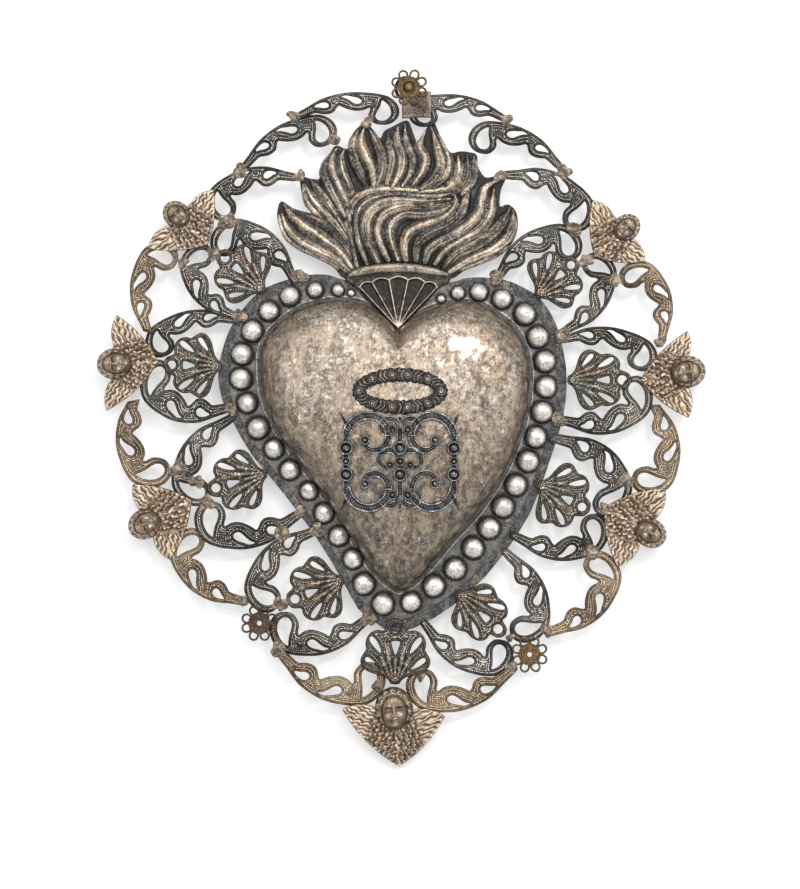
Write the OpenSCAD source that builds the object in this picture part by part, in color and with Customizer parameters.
// Ex-voto plaque: a domed heart with a beaded border and a torch of flames,
// inside an openwork frame of stamped scroll leaves, palmettes and winged cherub heads.
// The front faces -Y, the wall is at +Y, +Z is up.
// The origin lies on the rear face of the back plate, at the middle of the heart.

/* [Plaque] */
// height of the whole plaque, from the top rosette to the bottom cherub
plaque_h = 348; // [200:1:500]
// thickness of the flat back plate
plate_t = 0.8; // [0.5:0.1:2]

/* [Heart dome] */
// height of the dome over the back plate
dome_h = 24; // [12:1:40]
// wall of the dome
dome_t = 0.9; // [0.5:0.1:2]
// radius of the dome's broad front
dome_front_r = 220; // [150:5:400]
// width of the rounded shoulder around the dome
dome_shoulder = 14; // [8:1:20]

/* [Bead border] */
// thickness of the band that carries the beads
band_t = 0.7; // [0.4:0.1:2]
// height of the fine raised line between dome and beads
lip_t = 0.6; // [0.3:0.1:1.5]
// how far the largest bead stands off its band
bead_h = 5; // [2:0.25:8]
// clearance between the band and the dome
band_gap = 0.15; // [0.05:0.05:0.5]

/* [Torch] */
// thickness of the flame sheet
flame_sheet_t = 1.2; // [0.6:0.1:3]
// height of each flame tongue over the sheet
tongue_h = 2; // [0.5:0.1:5]
// height of each tongue's ridge over the tongue
ridge_h = 1.2; // [0.4:0.1:4]
// thickness of the cup's fan
cup_t = 1; // [0.6:0.1:3]
// height of the ribs between the fan's flutes
rib_h = 1.4; // [0.5:0.1:4]
// width of a rib at its upper end
rib_w = 1; // [0.5:0.1:3]
// height of the cup's rim over the fan's rear face
rim_h = 3.6; // [2:0.1:8]

/* [Applied castings] */
// thickness of the scroll ornament
cast_t = 2.2; // [1:0.1:5]
// thickness of the wreath's band
wreath_t = 1.8; // [1:0.1:5]
// radius of each rose of the wreath
rose_r = 3.1; // [1.5:0.1:6]
// gap between a casting and the dome under it
cast_gap = 0.1; // [0.05:0.05:0.5]

/* [Frame] */
// thickness of a stamped leaf's sheet
leaf_t = 1.2; // [0.6:0.1:2.5]
// height of the crest along a leaf's outer edge
crest_h = 0.3; // [0.1:0.1:1.5]
// thickness of a palmette's sheet
palmette_t = 1.2; // [0.6:0.1:2.5]
// height of the raised fan of a palmette
fan_h = 0.6; // [0.2:0.1:1.5]
// thickness of a cherub's wing sheet
wing_t = 1.2; // [0.6:0.1:2.5]
// height of the feathers over the wing sheet
feather_h = 0.9; // [0.3:0.1:3]
// height of a cherub's head over its wings, as a share of the head's radius
head_share = 0.72; // [0.4:0.02:1]

/* [Rosettes] */
// radius of a rosette's disc
disc_r = 5.6; // [3:0.1:10]
// thickness of a rosette's disc
disc_t = 1; // [0.6:0.1:3]
// radius of the button at the top rosette's middle
button_r = 2.4; // [1:0.1:4]
// radius of the empty pin hole at a lower rosette's middle
pin_hole_r = 1.2; // [0.6:0.1:2]
// radius of one wire petal, measured to the middle of the wire
petal_r = 2.2; // [1:0.1:4]
// radius of the petal wire
petal_wire_r = 0.55; // [0.3:0.05:1]
// number of wire petals
petal_count = 8; // [5:1:12]

/* [Hanger] */
// thickness of the folded strap
strap_t = 0.8; // [0.4:0.1:2]
// radius of the ring's wire
ring_wire_r = 0.8; // [0.4:0.1:1.5]
// radius of the ring, measured to the middle of its wire
ring_r = 5.6; // [4:0.1:9]
// clearance between the ring's wire and the strap's eye
eye_gap = 0.35; // [0.2:0.05:0.8]
// wall of the strap's rolled eye
eye_wall = 0.8; // [0.5:0.1:2]
// width of the rolled eye
eye_w = 3; // [2:0.25:6]

/* [Solder] */
// height of a solder lump, as a share of its radius
lump_share = 0.45; // [0.2:0.05:0.8]

/* [Hidden] */
// which piece is drawn

// the reference picture: the plaque's height, and the heart's middle, in its pixels
plaque_px = 696;
middle_px = [400, 440];
// millimetres that one pixel of the picture stands for
px = plaque_h / plaque_px;
// segments of an exact circle
$fn = 48;
// segments of small round pieces, and of the large balls
small_segments = 24;
ball_segments = 360;
// steps from one outline point to the next
fine_steps = 3;
coarse_steps = 2;
// overrun of a cutting body
cut_over = 1;
// colours
silver = [0.66, 0.61, 0.54];
slate = [0.42, 0.43, 0.44];
dark_tin = [0.30, 0.27, 0.23];
warm_tin = [0.42, 0.32, 0.22];
black_tin = [0.20, 0.19, 0.17];
pale_tin = [0.62, 0.54, 0.44];
blackened = [0.24, 0.21, 0.19];
solder_tone = [0.70, 0.61, 0.54];

// a picture point, in millimetres from the heart's middle
function at(p) = [(p[0] - middle_px[0]) * px, (middle_px[1] - p[1]) * px];
function at_all(points) = [for (p = points) at(p)];
// a smooth closed curve through the points
function between(a, b, c, d, t) =
    (2 * b + (c - a) * t + (2 * a - 5 * b + 4 * c - d) * t * t
    + (3 * b - a - 3 * c + d) * t * t * t) / 2;
function smooth(p, steps) = [
    for (i = [0 : len(p) - 1])
        for (k = [0 : steps - 1])
            between(p[(i + len(p) - 1) % len(p)], p[i], p[(i + 1) % len(p)],
                p[(i + 2) % len(p)], k / steps)
];
// points moved away from a centre by a distance
function grown(points, centre, distance) = [
    for (p = points) p + (p - centre) / norm(p - centre) * distance
];
// points scaled about a centre
function scaled(points, centre, factor) = [for (p = points) centre + (p - centre) * factor];
// points turned by an angle, counter-clockwise
function turned(p, angle) = [
    p[0] * cos(angle) - p[1] * sin(angle),
    p[0] * sin(angle) + p[1] * cos(angle)
];

// a flat piece: how far its rear lies from the wall, and its thickness
module sheet(rear, thickness) {
    translate([0, -rear, 0])
        rotate([90, 0, 0])
            linear_extrude(thickness)
                children();
}

// everything in front of a depth
module in_front(rear) {
    translate([-plaque_h, -rear - plaque_h, -plaque_h])
        cube([2 * plaque_h, plaque_h, 2 * plaque_h]);
}

// depths of the layers
band_front = plate_t + band_t;
lip_front = band_front + lip_t;
flame_front = plate_t + flame_sheet_t;
cup_rear = max(lip_front, flame_front) + band_gap;
layer_t = leaf_t + crest_h;
function layer_rear(level) = plate_t + level * layer_t;
function leaf_front(level) = layer_rear(level) + leaf_t;

// back plate, clockwise from the heart's notch
plate_outline_px = [
    [398, 266], [446, 270], [450, 282], [465, 278], [480, 277], [495, 278], [510, 281],
    [525, 288], [540, 298], [552, 315], [559, 332], [565, 358], [567, 381], [564, 415],
    [550, 461], [530, 514], [501, 558], [470, 592], [433, 619], [397, 633], [374, 622],
    [358, 609], [343, 582], [317, 539], [283, 493], [251, 454], [232, 421], [222, 400],
    [218, 380], [219, 363], [223, 347], [229, 330], [240, 312], [252, 298], [264, 288],
    [285, 280], [300, 276], [315, 274], [330, 275], [346, 280], [350, 270]
];
// foot of the dome, clockwise from the notch
dome_outline_px = [
    [397, 332], [404, 326], [412, 320], [421, 314], [432, 309], [450, 304], [470, 303],
    [485, 307], [500, 317], [515, 330], [525, 350], [529, 372], [528, 396], [525, 415],
    [518, 438], [503, 473], [477, 512], [452, 539], [428, 568], [411, 584], [401, 590],
    [392, 586], [382, 578], [371, 566], [351, 534], [324, 493], [300, 461], [278, 430],
    [266, 402], [262, 384], [261, 366], [262, 350], [267, 338], [277, 326], [290, 315],
    [305, 307], [325, 302], [345, 301], [362, 304], [376, 312], [388, 322]
];
dome_middle_px = [396, 434];
plate_outline = smooth(at_all(plate_outline_px), coarse_steps);
dome_outline = smooth(at_all(dome_outline_px), coarse_steps);
dome_middle = at(dome_middle_px);
// how much smaller than the back plate the bead band is drawn
band_share = 0.94;
band_outline = scaled(plate_outline, dome_middle, band_share);
// the fine line starts and ends this far outside the dome
lip_start = 1.5;
lip_end = 3;

// drop of the dome's front below its top, at a distance from the middle
function front_drop(reach) = dome_front_r - sqrt(pow(dome_front_r, 2) - pow(reach, 2));
// angles of the rings on the shoulder, from the foot up
shoulder_angles = [0, 20, 40, 60, 78];
// shares of the way from the middle to the shoulder's start
front_shares = [1, 0.75, 0.5, 0.25];
// one ring of the dome's skin: on the shoulder, or on the broad front
function shoulder_ring(angle, inset) = [
    for (p = dome_outline)
        let (reach = norm(p - dome_middle) - inset)
        let (near = reach - dome_shoulder * (1 - cos(angle)))
        let (q = dome_middle + (p - dome_middle) / norm(p - dome_middle) * near)
        [q[0], -plate_t - (dome_h - inset - front_drop(near)) * sin(angle), q[1]]
];
function front_ring(share, inset) = [
    for (p = dome_outline)
        let (near = (norm(p - dome_middle) - inset - dome_shoulder) * share)
        let (q = dome_middle + (p - dome_middle) / norm(p - dome_middle) * near)
        [q[0], -plate_t - (dome_h - inset - front_drop(near)), q[1]]
];
function dome_skin(inset) = concat(
    [for (a = shoulder_angles) each shoulder_ring(a, inset)],
    [for (s = front_shares) each front_ring(s, inset)],
    [[dome_middle[0], -plate_t - (dome_h - inset), dome_middle[1]]]
);
dome_count = len(dome_outline);
dome_rows = len(shoulder_angles) + len(front_shares);
skin_size = dome_count * dome_rows + 1;
// triangles of one skin; the inner skin is turned inside out
function skin_faces(first, flip) = concat(
    [
        for (r = [0 : dome_rows - 2])
            for (i = [0 : dome_count - 1])
                let (j = (i + 1) % dome_count)
                let (a = first + r * dome_count + i)
                let (b = first + r * dome_count + j)
                let (c = first + (r + 1) * dome_count + j)
                let (d = first + (r + 1) * dome_count + i)
                each flip ? [[a, b, c], [a, c, d]] : [[a, c, b], [a, d, c]]
    ],
    [
        for (i = [0 : dome_count - 1])
            let (j = (i + 1) % dome_count)
            let (a = first + (dome_rows - 1) * dome_count + i)
            let (b = first + (dome_rows - 1) * dome_count + j)
            flip ? [a, b, first + skin_size - 1] : [a, first + skin_size - 1, b]
    ]
);
function foot_faces() = [
    for (i = [0 : dome_count - 1])
        let (j = (i + 1) % dome_count)
        each [[i, j, skin_size + j], [i, skin_size + j, skin_size + i]]
];

module back_plate() {
    color(slate)
        sheet(0, plate_t)
            polygon(plate_outline);
}

module heart_dome() {
    color(silver)
        polyhedron(
            points = concat(dome_skin(0), dome_skin(dome_t)),
            faces = concat(skin_faces(0, false), skin_faces(skin_size, true), foot_faces())
        );
}

// beads of the border: picture position and radius, clockwise from the notch
bead_rows_px = [
    [441, 299, 5], [458, 293, 8], [479, 292, 10], [502, 299, 11], [525, 314, 12],
    [538, 337, 12], [545, 361, 12], [546, 387, 12], [542, 412, 12], [536, 437, 12],
    [528, 461, 12], [516, 485, 12], [503, 507, 12], [489, 528, 12], [473, 548, 12],
    [455, 569, 12], [434, 586, 12], [411, 602, 11], [383, 604, 12], [364, 584, 12],
    [353, 559, 11], [339, 536, 11], [324, 513, 11], [309, 491, 10], [290, 470, 11],
    [274, 449, 11], [258, 428, 12], [247, 403, 11], [241, 379, 12], [242, 354, 12],
    [252, 331, 12], [269, 311, 11], [290, 296, 11], [315, 290, 9], [338, 290, 7],
    [351, 293, 4]
];
bead_max_px = 12;

module bead(row) {
    foot_r = row[2] * px;
    rise = bead_h * row[2] / bead_max_px;
    ball_r = (foot_r * foot_r + rise * rise) / (2 * rise);
    centre = at(row);
    intersection() {
        translate([centre[0], -band_front - rise + ball_r, centre[1]])
            sphere(r = ball_r);
        in_front(plate_t);
    }
}

module bead_border() {
    color(slate) {
        difference() {
            union() {
                sheet(plate_t, band_t)
                    polygon(band_outline);
                for (row = bead_rows_px)
                    bead(row);
            }
            sheet(0, band_front + bead_h + cut_over) {
                polygon(grown(dome_outline, dome_middle, band_gap));
                polygon(grown(at_all(flame_outline_px), at(flame_middle_px), band_gap));
            }
        }
        sheet(plate_t, band_t + lip_t)
            difference() {
                polygon(grown(dome_outline, dome_middle, lip_end));
                polygon(grown(dome_outline, dome_middle, lip_start));
                polygon(grown(at_all(flame_outline_px), at(flame_middle_px), band_gap));
            }
    }
}

// outline of the flame sheet, clockwise from the cup's left end
flame_outline_px = [
    [345, 279], [334, 268], [320, 260], [300, 251], [285, 240], [279, 226], [277, 213],
    [281, 201], [293, 208], [311, 213], [305, 206], [302, 196], [300, 177], [309, 178],
    [319, 179], [319, 172], [322, 162], [329, 154], [336, 145], [347, 149], [349, 140],
    [356, 129], [365, 123], [372, 128], [380, 138], [384, 131], [393, 126], [407, 120],
    [412, 129], [417, 141], [424, 132], [433, 121], [441, 137], [450, 152], [460, 151],
    [470, 152], [477, 155], [478, 166], [485, 177], [495, 176], [506, 177], [501, 190],
    [500, 206], [508, 204], [516, 211], [518, 225], [514, 240], [505, 252], [494, 259],
    [480, 265], [464, 271], [451, 279], [425, 281], [398, 282], [370, 281]
];
flame_middle_px = [398, 240];
// each tongue of flame: centre line from root to tip, as picture position and half width
tongue_rows_px = [
    [[352, 262, 6], [330, 255, 7], [305, 241, 8], [290, 224, 6], [284, 207, 1]],
    [[360, 256, 6], [335, 238, 7], [317, 214, 7], [307, 196, 4], [303, 181, 1]],
    [[366, 246, 6], [343, 220, 7], [331, 192, 7], [331, 168, 5], [338, 150, 1]],
    [[374, 240, 5], [356, 212, 6], [347, 180, 7], [353, 152, 6], [365, 134, 1]],
    [[386, 232, 5], [374, 205, 6], [374, 175, 7], [386, 150, 6], [403, 131, 1]],
    [[404, 214, 5], [402, 192, 6], [410, 170, 7], [424, 152, 5], [432, 133, 1]],
    [[428, 210, 5], [426, 190, 6], [438, 170, 8], [456, 164, 6], [471, 159, 1]],
    [[446, 226, 5], [452, 204, 6], [468, 192, 7], [484, 188, 5], [497, 184, 1]],
    [[444, 256, 6], [466, 240, 8], [484, 226, 8], [500, 217, 5], [511, 208, 1]],
    [[380, 258, 6], [398, 244, 7], [422, 234, 8], [440, 222, 6], [450, 210, 1]],
    [[462, 260, 5], [482, 254, 6], [498, 244, 6], [508, 232, 4], [514, 220, 1]]
];
// the ridge on a tongue, as a share of the tongue's width
ridge_share = 0.45;

// outline of a band along a centre line whose half width changes
function line_turn(rows, i) =
    let (a = rows[max(i - 1, 0)])
    let (b = rows[min(i + 1, len(rows) - 1)])
    atan2(b[1] - a[1], b[0] - a[0]);
function band_side(rows, share) = [
    for (i = [0 : len(rows) - 1])
        [rows[i][0], rows[i][1]] + turned([0, rows[i][2] * share], line_turn(rows, i))
];
function backwards(points) = [for (i = [len(points) - 1 : -1 : 0]) points[i]];
function band_of(rows, share) =
    concat(band_side(rows, share), backwards(band_side(rows, -share)));

module flame_panel() {
    color(silver) {
        sheet(plate_t, flame_sheet_t)
            polygon(at_all(flame_outline_px));
        sheet(plate_t, flame_sheet_t + tongue_h)
            for (rows = tongue_rows_px)
                polygon(smooth(at_all(band_of(rows, 1)), coarse_steps));
        sheet(plate_t, flame_sheet_t + tongue_h + ridge_h)
            for (rows = tongue_rows_px)
                polygon(smooth(at_all(band_of(rows, ridge_share)), coarse_steps));
    }
}

// the cup: outline of its sheet, upper and lower edge of its rim, and the ribs of its fan
cup_outline_px = [
    [345, 278], [352, 270], [362, 266], [380, 263.5], [398, 262.5], [416, 263.5], [434, 267],
    [446, 271.5], [452, 277], [446, 284], [438, 289], [428, 301], [416, 313], [406, 323],
    [398, 332], [390, 323], [380, 313], [368, 301], [357, 289], [350, 284]
];
rim_outline_px = [
    [345, 278], [352, 270], [362, 266], [380, 263.5], [398, 262.5], [416, 263.5], [434, 267],
    [446, 271.5], [452, 277], [436, 276.5], [418, 274], [398, 273], [378, 274], [360, 277]
];
// the rim's upper band, as a share of the rim about its own middle
rim_top_share = 0.7;
rim_middle_px = [398, 269];
fan_root_px = [398, 328];
// upper ends of the ribs, from left to right
rib_tops_px = [[360, 287], [372, 282.5], [389, 280], [408, 280], [425, 282.5], [437, 287]];
// width of a rib at its lower end, as a share of its width at the top, and how far it runs
// towards the fan's root
rib_taper_share = 0.5;
rib_run_share = 0.87;

// a tapered rib from its upper end towards the root
module rib(top) {
    start = at(top);
    end = start + (at(fan_root_px) - start) * rib_run_share;
    along = (end - start) / norm(end - start);
    aside = [along[1], -along[0]] * rib_w / 2;
    polygon([
        start - aside, start + aside, end + aside * rib_taper_share, end - aside * rib_taper_share
    ]);
}

module torch_cup() {
    color(silver) {
        sheet(cup_rear, cup_t)
            polygon(smooth(at_all(cup_outline_px), coarse_steps));
        sheet(cup_rear, rim_h * rim_top_share)
            polygon(smooth(at_all(rim_outline_px), coarse_steps));
        sheet(cup_rear, rim_h)
            polygon(smooth(at_all(scaled(rim_outline_px, rim_middle_px, rim_top_share)),
                coarse_steps));
        sheet(cup_rear, cup_t + rib_h)
            for (top = rib_tops_px)
                rib(top);
    }
}

// balls that the castings are shaped to: the dome's broad front and the castings' own fronts
ball_centre = [dome_middle[0], dome_front_r - plate_t - dome_h, dome_middle[1]];

// the slice between two depths over the dome's front
module over_dome(thickness) {
    difference() {
        intersection() {
            sheet(plate_t, dome_h + 2 * thickness)
                children();
            translate(ball_centre)
                sphere(r = dome_front_r + cast_gap + thickness, $fn = ball_segments);
        }
        translate(ball_centre)
            sphere(r = dome_front_r + cast_gap, $fn = ball_segments);
    }
}

// one curling band: middle, first and last radius, first and last angle, half widths
scroll_steps = 26;
function scroll_line(row) = [
    for (i = [0 : scroll_steps])
        let (share = i / scroll_steps)
        let (angle = row[4] + (row[5] - row[4]) * share)
        let (radius = row[2] + (row[3] - row[2]) * pow(share, scroll_power))
        [row[0] + radius * cos(angle), row[1] + radius * sin(angle),
            row[6] + (row[7] - row[6]) * share]
];
// how late a curl winds in
scroll_power = 1.6;
// curls of the left half, in picture pixels and degrees: the right half mirrors them
curl_rows_px = [
    [371, 438, 24, 6, 180, 520, 4.4, 2.8],
    [371, 485, 24, 6, 180, -160, 4.4, 2.8],
    [389, 428, 9.5, 4, 10, -330, 3.3, 2.4],
    [389, 496, 9.5, 4, -10, 330, 3.3, 2.4],
    [388, 461, 12, 4, -8, -300, 3.1, 2.2]
];
// straight stems: x, upper y, lower y, half width
stem_rows_px = [[347, 436, 487, 3.4], [400, 422, 501, 3.2]];
// bosses: x, y, radius
boss_rows_px = [
    [347, 448, 7.5], [347, 474, 7.5], [400, 448, 7.5], [400, 474, 7.5], [400, 461, 5],
    [347, 461, 4.5], [366, 440, 4.5], [366, 483, 4.5]
];
// small leaf tips on the outer curls
spur_rows_px = [
    [[345, 430], [352, 418], [340, 412], [338, 424]],
    [[345, 493], [352, 505], [340, 511], [338, 499]],
    [[395, 424], [405, 424], [400, 417]],
    [[395, 499], [405, 499], [400, 508]]
];
function mirrored(p) = [2 * middle_px[0] - p[0], p[1]];
// height of a boss as a share of the casting, height of its button as a share of the boss,
// and radius of the button as a share of the boss
boss_share = 1.45;
button_share = 1.3;
boss_top_share = 0.55;

module cartouche_shape() {
    for (row = curl_rows_px) {
        polygon(at_all(band_of(scroll_line(row), 1)));
        polygon(at_all([for (p = band_of(scroll_line(row), 1)) mirrored(p)]));
    }
    for (row = stem_rows_px)
        for (middle = [row[0], mirrored(row)[0]])
            polygon(at_all([
                [middle - row[3], row[1]], [middle + row[3], row[1]],
                [middle + row[3], row[2]], [middle - row[3], row[2]]
            ]));
    for (points = spur_rows_px) {
        polygon(at_all(points));
        polygon(at_all([for (p = points) mirrored(p)]));
    }
}

// a round boss with a button, that stands clear of the dome's front
module boss(middle, radius) {
    nearest = max(norm(middle - dome_middle) - radius, 0);
    rear = plate_t + dome_h - front_drop(nearest) + 2 * cast_gap;
    sheet(rear, cast_t * boss_share)
        translate(middle)
            circle(r = radius);
    sheet(rear, cast_t * boss_share * button_share)
        translate(middle)
            circle(r = radius * boss_top_share);
}

module scroll_cartouche() {
    color(blackened) {
        over_dome(cast_t)
            cartouche_shape();
        for (row = boss_rows_px)
            for (place = row[0] == middle_px[0] ? [row] : [row, mirrored(row)])
                boss(at(place), row[2] * px);
    }
}

// the wreath: middle, outer and inner half width and height
wreath_px = [400, 392, 47, 23, 33, 9];
wreath_points = 48;
rose_count = 10;
// how far the roses are spread from the wreath's narrow ends, in degrees
rose_spread = 12;
// how far the roses' balls sink into the band, as a share of their radius
rose_sink_share = 0.3;
function oval(width, height) = [
    for (i = [0 : wreath_points - 1])
        [wreath_px[0] + width * cos(360 * i / wreath_points),
            wreath_px[1] + height * sin(360 * i / wreath_points)]
];

module flower_wreath() {
    color(blackened) {
        over_dome(wreath_t)
            difference() {
                polygon(at_all(oval(wreath_px[2], wreath_px[3])));
                polygon(at_all(oval(wreath_px[4], wreath_px[5])));
            }
        for (i = [0 : rose_count - 1])
            let (share_turn = 360 * i / rose_count)
            let (turn = share_turn + rose_spread * sin(2 * share_turn))
            let (p = at([
                wreath_px[0] + (wreath_px[2] + wreath_px[4]) / 2 * cos(turn),
                wreath_px[1] + (wreath_px[3] + wreath_px[5]) / 2 * sin(turn)
            ]))
            let (front = plate_t + dome_h - front_drop(norm(p - dome_middle)) + wreath_t)
            intersection() {
                translate([p[0], -front + rose_r * rose_sink_share, p[1]])
                    sphere(r = rose_r);
                in_front(front - wreath_t / 2);
            }
    }
}

// the leaf die: along from the stem's end to the eye of its curl, and across to its outer edge,
// both as shares of that length
leaf_edge_shares = [
    [0, 0.035], [0.07, 0.09], [0.155, 0.15], [0.245, 0.222], [0.34, 0.286], [0.47, 0.335],
    [0.60, 0.36], [0.72, 0.36], [0.84, 0.34], [0.93, 0.318], [1.04, 0.27], [1.11, 0.205],
    [1.165, 0.10], [1.18, -0.02], [1.155, -0.115], [1.10, -0.185], [1.03, -0.215],
    [0.945, -0.205], [0.88, -0.165], [0.845, -0.09], [0.838, -0.02], [0.86, 0.045],
    [0.855, 0.082], [0.80, 0.055], [0.74, 0.045], [0.68, 0.055], [0.615, 0.086],
    [0.56, 0.125], [0.525, 0.152], [0.497, 0.12], [0.47, 0.065], [0.43, 0.032],
    [0.37, 0.022], [0.31, 0.036], [0.265, 0.052], [0.215, 0.036], [0.15, 0.002],
    [0.08, -0.03], [0.03, -0.045], [0, -0.03]
];
leaf_hole_shares = [
    [[0.25, 0.158], [0.29, 0.197], [0.35, 0.22], [0.395, 0.205], [0.412, 0.165],
        [0.395, 0.135], [0.355, 0.13], [0.305, 0.146]],
    [[0.55, 0.298], [0.61, 0.312], [0.665, 0.29], [0.73, 0.262], [0.772, 0.222],
        [0.768, 0.182], [0.728, 0.163], [0.685, 0.182], [0.64, 0.235], [0.59, 0.28]],
    [[1, 0.19], [1.055, 0.125], [1.085, 0.03], [1.08, -0.06], [1.04, -0.125],
        [0.985, -0.145], [0.935, -0.12], [0.915, -0.06], [0.935, 0.01], [0.965, 0.075],
        [0.985, 0.14]]
];
leaf_crest_shares = [
    [0.24, 0.198], [0.34, 0.268], [0.47, 0.318], [0.6, 0.346], [0.72, 0.345],
    [0.84, 0.325], [0.93, 0.302], [1.02, 0.262], [0.99, 0.236], [0.92, 0.26],
    [0.84, 0.272], [0.78, 0.28], [0.71, 0.305], [0.62, 0.326], [0.53, 0.314],
    [0.45, 0.276], [0.36, 0.244], [0.29, 0.214]
];
// where the leaves lie, from the top down: stem end and eye of the curl in the picture,
// side that bulges, width share, share of the stem that is cut off, and layer
leaf_left_rows_px = [
    [292, 118, 383, 112, 1, 0.66, 0, 1],
    [240, 170, 321, 132, 1, 0.75, 0, 0],
    [300, 177, 222, 205, -1, 0.9, 0, 1],
    [297, 283, 226, 239, -1, 1, 0, 0],
    [240, 320, 198, 258, 1, 1, 0, 1],
    [149, 338, 162, 257, 1, 0.92, 0.05, 1],
    [240, 320, 160, 343, -1, 0.8, 0, 0],
    [234, 408, 156, 379, 1, 1.1, 0, 1],
    [138, 386, 152, 472, -1, 1, 0.15, 0],
    [234, 415, 193, 490, -1, 1, 0, 0],
    [304, 512, 211, 520, 1, 0.95, 0, 1],
    [248, 604, 188, 545, 1, 1, 0, 0],
    [319, 528, 264, 596, -1, 0.95, 0, 1],
    [373, 616, 285, 630, 1, 0.95, 0, 0],
    [276, 650, 368, 681, -1, 0.92, 0, 1]
];
leaf_right_rows_px = [
    [511, 121, 424, 114, -1, 0.7, 0, 1],
    [565, 170, 484, 139, -1, 0.78, 0, 0],
    [500, 174, 578, 215, 1, 0.9, 0, 1],
    [493, 283, 567, 244, 1, 0.95, 0, 0],
    [560, 335, 598, 267, -1, 0.95, 0, 1],
    [662, 345, 635, 275, -1, 1, 0, 1],
    [556, 340, 642, 357, 1, 0.75, 0, 0],
    [556, 420, 637, 394, -1, 1, 0, 1],
    [650, 395, 650, 480, 1, 1, 0.1, 0],
    [551, 436, 611, 499, 1, 1.1, 0, 1],
    [510, 535, 594, 531, -1, 0.95, 0, 0],
    [545, 635, 601, 568, -1, 1, 0, 1],
    [504, 549, 527, 628, 1, 1, 0, 0],
    [421, 621, 498, 656, -1, 0.92, 0, 0],
    [516, 668, 423, 687, 1, 0.9, 0, 1]
];

// a point of the die on the leaf of one row, in picture pixels
function on_leaf(p, row) =
    let (along = [row[2] - row[0], row[3] - row[1]])
    let (across = [along[1], -along[0]] * row[4])
    [row[0], row[1]] + along * p[0] + across * p[1] * row[5];
function leaf_points(shares, row, steps) =
    at_all([for (p = smooth(shares, steps)) if (p[0] >= row[6]) on_leaf(p, row)]);

module leaf(row, tone) {
    color(tone) {
        sheet(layer_rear(row[7]), leaf_t)
            difference() {
                polygon(leaf_points(leaf_edge_shares, row, fine_steps));
                for (hole = leaf_hole_shares)
                    polygon(leaf_points(hole, row, coarse_steps));
            }
        sheet(layer_rear(row[7]), leaf_t + crest_h)
            polygon(leaf_points(leaf_crest_shares, row, coarse_steps));
    }
}

// the palmette die: along from the stem to its eye, and across, as shares of that length
palmette_edge_shares = [
    [-0.05, 0.07], [0.02, 0.12], [0.09, 0.22], [0.13, 0.36], [0.18, 0.5], [0.27, 0.6],
    [0.4, 0.63], [0.52, 0.575], [0.6, 0.53], [0.7, 0.545], [0.82, 0.52], [0.92, 0.44],
    [0.965, 0.33], [0.955, 0.22], [1.04, 0.18], [1.13, 0.13], [1.18, 0]
];
palmette_hole_shares = [
    [[0.235, 0.28], [0.3, 0.33], [0.38, 0.4], [0.445, 0.49], [0.425, 0.54],
        [0.365, 0.525], [0.3, 0.44], [0.245, 0.34]],
    [[0.53, 0.26], [0.62, 0.275], [0.74, 0.33], [0.83, 0.41], [0.825, 0.46],
        [0.76, 0.465], [0.66, 0.4], [0.57, 0.32]]
];
palmette_gap_shares = [
    [0.5, 0], [0.62, 0.05], [0.74, 0.075], [0.76, 0], [0.74, -0.075], [0.62, -0.05]
];
palmette_fan_shares = [
    [0, 0.06], [0.2, 0.17], [0.4, 0.26], [0.56, 0.18], [0.44, 0.05],
    [0.44, -0.05], [0.56, -0.18], [0.4, -0.26], [0.2, -0.17], [0, -0.06]
];
palmette_eye_share = 0.09;
palmette_knob_share = 0.1;
palmette_knob_place_share = 0.08;
// stem and eye in the picture, width share and layer, clockwise from the upper left
palmette_rows_px = [
    [262, 290, 225, 258, 1, 1],
    [219, 366, 172, 365, 1.1, 2],
    [264, 474, 216, 488, 0.98, 1],
    [341, 580, 295, 599, 1.05, 1],
    [395, 681, 396, 628, 1.05, 2],
    [459, 594, 498, 629, 0.85, 1],
    [540, 485, 582, 507, 1.12, 1],
    [570, 380, 622, 380, 0.93, 2],
    [538, 295, 571, 265, 1.1, 1]
];
function on_palmette(p, row) =
    let (along = [row[2] - row[0], row[3] - row[1]])
    let (across = [-along[1], along[0]] * row[4])
    [row[0], row[1]] + along * p[0] + across * p[1];
function other_side(shares) = [for (i = [len(shares) - 1 : -1 : 0]) [shares[i][0], -shares[i][1]]];
function palmette_points(shares, row) =
    at_all([for (p = smooth(shares, coarse_steps)) on_palmette(p, row)]);

module palmette(row) {
    half = palmette_edge_shares;
    length = norm([row[2] - row[0], row[3] - row[1]]) * px;
    eye = at([row[2], row[3]]);
    color(black_tin) {
        difference() {
            union() {
                sheet(layer_rear(row[5]), palmette_t)
                    polygon(palmette_points(
                        concat(half, [for (p = other_side(half)) if (p[1] < 0) p]), row));
                sheet(layer_rear(row[5]), palmette_t + fan_h)
                    polygon(palmette_points(palmette_fan_shares, row));
                sheet(plate_t, layer_rear(row[5]) - plate_t + palmette_t + fan_h)
                    translate(at(on_palmette([palmette_knob_place_share, 0], row)))
                        circle(r = length * palmette_knob_share);
            }
            sheet(plate_t, layer_rear(row[5]) + palmette_t + cut_over) {
                for (hole = palmette_hole_shares) {
                    polygon(palmette_points(hole, row));
                    polygon(palmette_points(other_side(hole), row));
                }
                polygon(palmette_points(palmette_gap_shares, row));
                translate(eye)
                    circle(r = length * palmette_eye_share);
            }
        }
    }
}

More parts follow.
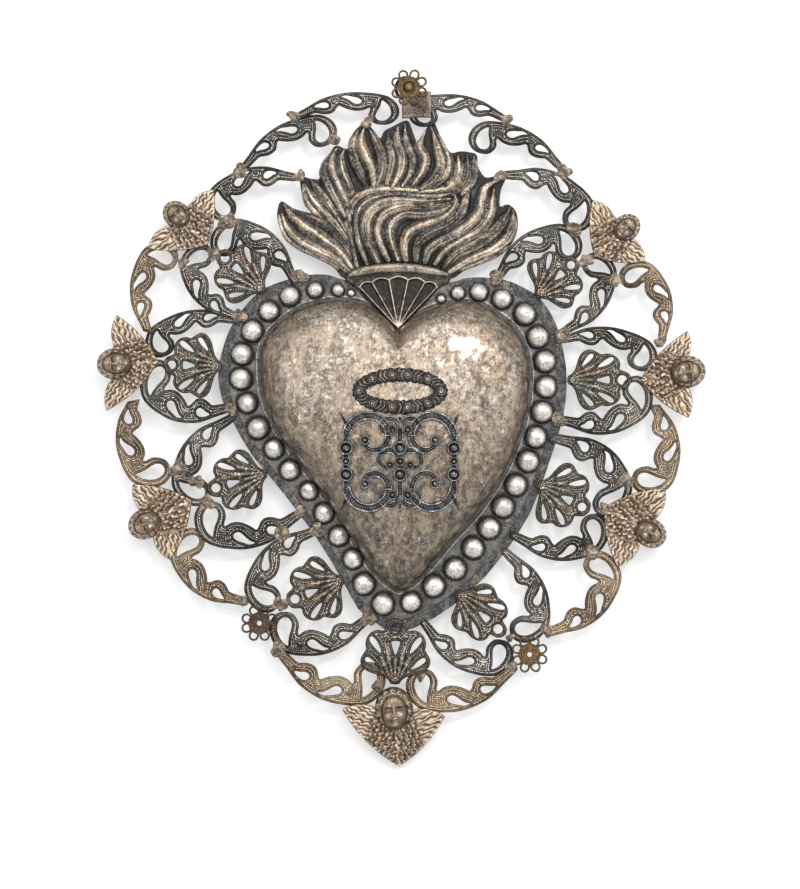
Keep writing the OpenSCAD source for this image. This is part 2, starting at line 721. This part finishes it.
// cherubs: wing root, the two wing tips, the head's middle and radius, all in the picture,
// and the layer
cherub_rows_px = [
    [[208, 245], [214, 190], [148, 249], [177, 215], 13, 2],
    [[159, 362], [117, 315], [107, 411], [115, 364], 15.5, 2],
    [[192, 500], [133, 484], [170, 560], [145, 524], 15, 1],
    [[399, 766], [342, 709], [445, 716], [394, 708], 19, 2],
    [[604, 507], [665, 488], [617, 567], [650, 533], 14.5, 2],
    [[640, 380], [687, 331], [688, 418], [687, 372], 16, 2],
    [[594, 257], [592, 200], [645, 262], [626, 228], 13, 2]
];
// bulge of a wing's lower and upper edge, as shares of the edge's length
wing_lower_share = 0.07;
wing_upper_share = 0.14;
wing_steps = 8;
// the feathered part, as a share of the wing sheet
feather_share = 0.78;
// how far the wings' upper edges stop from the head's middle, as a share of their length
neck_share = 0.3;
function bowed(a, b, share) = [
    for (i = [0 : wing_steps - 1])
        let (t = i / wing_steps)
        a + (b - a) * t + [b[1] - a[1], a[0] - b[0]] * share * 4 * t * (1 - t)
];
// which way round the wing tips follow each other
function wing_side(row) =
    let (a = row[1] - row[0])
    let (b = row[2] - row[0])
    sign(a[0] * b[1] - a[1] * b[0]);
function wing_outline(row) =
    let (side = wing_side(row))
    concat(
        bowed(row[0], row[1], side * wing_lower_share),
        bowed(row[1], row[3] + (row[1] - row[3]) * neck_share, side * wing_upper_share),
        bowed(row[3] + (row[2] - row[3]) * neck_share, row[2], side * wing_upper_share),
        bowed(row[2], row[0], side * wing_lower_share)
    );

module cherub(row) {
    rear = layer_rear(row[5]);
    outline = wing_outline(row);
    centre = (row[0] + row[1] + row[2]) / 3;
    head_r = row[4] * px;
    rise = head_r * head_share;
    head = at(row[3]);
    ball_r = (head_r * head_r + rise * rise) / (2 * rise);
    color(pale_tin) {
        sheet(rear, wing_t)
            polygon(at_all(outline));
        sheet(rear, wing_t + feather_h)
            polygon(at_all(scaled(outline, centre, feather_share)));
        intersection() {
            translate([head[0], -rear - wing_t - rise + ball_r, head[1]])
                sphere(r = ball_r);
            in_front(rear);
        }
    }
}

// rosettes: middle in the picture, and the layer of those that lie on leaves
rosette_rows_px = [[409, 88], [259.5, 623, 2], [529.5, 654.5, 1]];

// a rosette: with a button at its middle, or with an empty pin hole
module rosette(row, rear, buttoned = false) {
    middle = at(row);
    color(warm_tin) {
        sheet(rear, disc_t)
            translate(middle)
                difference() {
                    circle(r = disc_r);
                    if (!buttoned)
                        circle(r = pin_hole_r);
                }
        for (i = [0 : petal_count - 1])
            let (reach = disc_r + petal_r / 2)
            let (turn = 360 * (i + 0.5) / petal_count)
            translate([
                middle[0] + reach * cos(turn),
                -rear - petal_wire_r,
                middle[1] + reach * sin(turn)
            ])
                rotate([90, 0, 0])
                    rotate_extrude($fn = small_segments)
                        translate([petal_r, 0])
                            circle(r = petal_wire_r, $fn = small_segments);
        if (buttoned)
            intersection() {
                translate([middle[0], -rear - disc_t, middle[1]])
                    sphere(r = button_r, $fn = small_segments);
                in_front(rear);
            }
    }
}

// a rosette that lies on the leaves of its layer
module lower_rosette(row) {
    rosette(row, layer_rear(row[2]));
}

// the strap's flap in the picture: left, top, right and bottom
strap_px = [402, 92, 431, 119];
ring_middle_px = [407, 88];
// the strap's tail that reaches back to the rolled eye: left and right
tail_px = [403, 411];
ring_middle = at(ring_middle_px);
ring_axis_y = -ring_wire_r;
ring_axis_z = ring_middle[1] - ring_r;
eye_r = ring_wire_r + eye_gap;
eye_outer_r = eye_r + eye_wall;
strap_rear = layer_rear(2);

module hanger_strap() {
    left = at([strap_px[0], strap_px[1]]);
    right = at([strap_px[2], strap_px[3]]);
    tail_left = at([tail_px[0], strap_px[1]]);
    tail_right = at([tail_px[1], strap_px[1]]);
    color(dark_tin) {
        difference() {
            union() {
                translate([left[0], -strap_rear - strap_t, right[1]])
                    cube([right[0] - left[0], strap_t, left[1] - right[1]]);
                translate([tail_left[0], -strap_rear, ring_axis_z - eye_wall])
                    cube([tail_right[0] - tail_left[0], strap_rear + ring_axis_y, 2 * eye_wall]);
                translate([ring_middle[0] - eye_w / 2, ring_axis_y, ring_axis_z])
                    rotate([0, 90, 0])
                        cylinder(r = eye_outer_r, h = eye_w);
            }
            translate([ring_middle[0] - eye_w, ring_axis_y, ring_axis_z])
                rotate([0, 90, 0])
                    cylinder(r = eye_r, h = 2 * eye_w);
        }
    }
}

module hanging_ring() {
    color(warm_tin)
        translate([ring_middle[0], ring_axis_y, ring_middle[1]])
            rotate([90, 0, 0])
                rotate_extrude()
                    translate([ring_r, 0])
                        circle(r = ring_wire_r, $fn = small_segments);
}

// solder lumps: picture position, radius, the layer that they lie on, and 1 on a leaf's crest
lump_rows_px = [
    [293, 116, 4, 1, 0], [367, 123, 4, 1, 0], [335, 139, 4, 0, 0], [240, 171, 5, 1, 1],
    [300, 176, 4, 1, 0], [228, 222, 6, 1, 0], [214, 255, 4, 1, 0], [183, 263, 4, 1, 0],
    [301, 276, 5, 0, 0], [240, 316, 5, 1, 0], [232, 409, 4, 1, 0], [176, 470, 5, 0, 1],
    [197, 482, 5, 0, 0], [208, 502, 5, 1, 0], [301, 511, 4, 1, 0], [281, 533, 5, 1, 1],
    [318, 530, 5, 1, 0], [241, 601, 4, 0, 0], [281, 604, 5, 1, 0], [370, 618, 5, 0, 0],
    [277, 650, 5, 1, 0], [377, 686, 4, 1, 0], [507, 120, 4, 1, 0], [564, 171, 5, 1, 1],
    [500, 176, 4, 1, 0], [574, 229, 5, 1, 0], [586, 261, 5, 1, 0], [616, 281, 4, 1, 1],
    [496, 277, 5, 0, 0], [562, 334, 5, 1, 0], [660, 342, 4, 1, 0], [558, 420, 5, 1, 0],
    [627, 481, 5, 1, 1], [605, 508, 4, 2, 0], [592, 553, 5, 1, 0], [548, 631, 4, 1, 0],
    [510, 638, 3, 0, 0], [512, 667, 4, 1, 0], [421, 677, 3, 1, 0]
];

module solder_joints() {
    color(solder_tone)
        for (row = lump_rows_px)
            let (middle = at(row))
            let (foot_r = row[2] * px)
            let (rise = foot_r * lump_share)
            let (ball_r = (foot_r * foot_r + rise * rise) / (2 * rise))
            let (rear = leaf_front(row[3]) + crest_h * row[4])
            intersection() {
                translate([middle[0], -rear - rise + ball_r, middle[1]])
                    sphere(r = ball_r, $fn = small_segments);
                in_front(rear);
            }
}

back_plate();
heart_dome();
bead_border();
flame_panel();
torch_cup();
scroll_cartouche();
flower_wreath();
leaf(leaf_left_rows_px[0], dark_tin);  // leaf_left_01
leaf(leaf_left_rows_px[1], dark_tin);  // leaf_left_02
leaf(leaf_left_rows_px[2], dark_tin);  // leaf_left_03
leaf(leaf_left_rows_px[3], dark_tin);  // leaf_left_04
leaf(leaf_left_rows_px[4], dark_tin);  // leaf_left_05
leaf(leaf_left_rows_px[5], warm_tin);  // leaf_left_06
leaf(leaf_left_rows_px[6], dark_tin);  // leaf_left_07
leaf(leaf_left_rows_px[7], dark_tin);  // leaf_left_08
leaf(leaf_left_rows_px[8], warm_tin);  // leaf_left_09
leaf(leaf_left_rows_px[9], dark_tin);  // leaf_left_10
leaf(leaf_left_rows_px[10], dark_tin);  // leaf_left_11
leaf(leaf_left_rows_px[11], warm_tin);  // leaf_left_12
leaf(leaf_left_rows_px[12], dark_tin);  // leaf_left_13
leaf(leaf_left_rows_px[13], dark_tin);  // leaf_left_14
leaf(leaf_left_rows_px[14], warm_tin);  // leaf_left_15
leaf(leaf_right_rows_px[0], dark_tin);  // leaf_right_01
leaf(leaf_right_rows_px[1], dark_tin);  // leaf_right_02
leaf(leaf_right_rows_px[2], dark_tin);  // leaf_right_03
leaf(leaf_right_rows_px[3], dark_tin);  // leaf_right_04
leaf(leaf_right_rows_px[4], dark_tin);  // leaf_right_05
leaf(leaf_right_rows_px[5], warm_tin);  // leaf_right_06
leaf(leaf_right_rows_px[6], dark_tin);  // leaf_right_07
leaf(leaf_right_rows_px[7], dark_tin);  // leaf_right_08
leaf(leaf_right_rows_px[8], warm_tin);  // leaf_right_09
leaf(leaf_right_rows_px[9], dark_tin);  // leaf_right_10
leaf(leaf_right_rows_px[10], dark_tin);  // leaf_right_11
leaf(leaf_right_rows_px[11], warm_tin);  // leaf_right_12
leaf(leaf_right_rows_px[12], dark_tin);  // leaf_right_13
leaf(leaf_right_rows_px[13], dark_tin);  // leaf_right_14
leaf(leaf_right_rows_px[14], warm_tin);  // leaf_right_15
palmette(palmette_rows_px[0]);  // palmette_upper_left
palmette(palmette_rows_px[1]);  // palmette_left
palmette(palmette_rows_px[2]);  // palmette_lower_left
palmette(palmette_rows_px[3]);  // palmette_bottom_left
palmette(palmette_rows_px[4]);  // palmette_bottom
palmette(palmette_rows_px[5]);  // palmette_bottom_right
palmette(palmette_rows_px[6]);  // palmette_lower_right
palmette(palmette_rows_px[7]);  // palmette_right
palmette(palmette_rows_px[8]);  // palmette_upper_right
cherub(cherub_rows_px[0]);  // cherub_upper_left
cherub(cherub_rows_px[1]);  // cherub_left
cherub(cherub_rows_px[2]);  // cherub_lower_left
cherub(cherub_rows_px[3]);  // cherub_bottom
cherub(cherub_rows_px[4]);  // cherub_lower_right
cherub(cherub_rows_px[5]);  // cherub_right
cherub(cherub_rows_px[6]);  // cherub_upper_right
rosette(rosette_rows_px[0], strap_rear + strap_t, true);  // rosette_top
lower_rosette(rosette_rows_px[1]);  // rosette_bottom_left
lower_rosette(rosette_rows_px[2]);  // rosette_bottom_right
hanger_strap();
hanging_ring();
solder_joints();
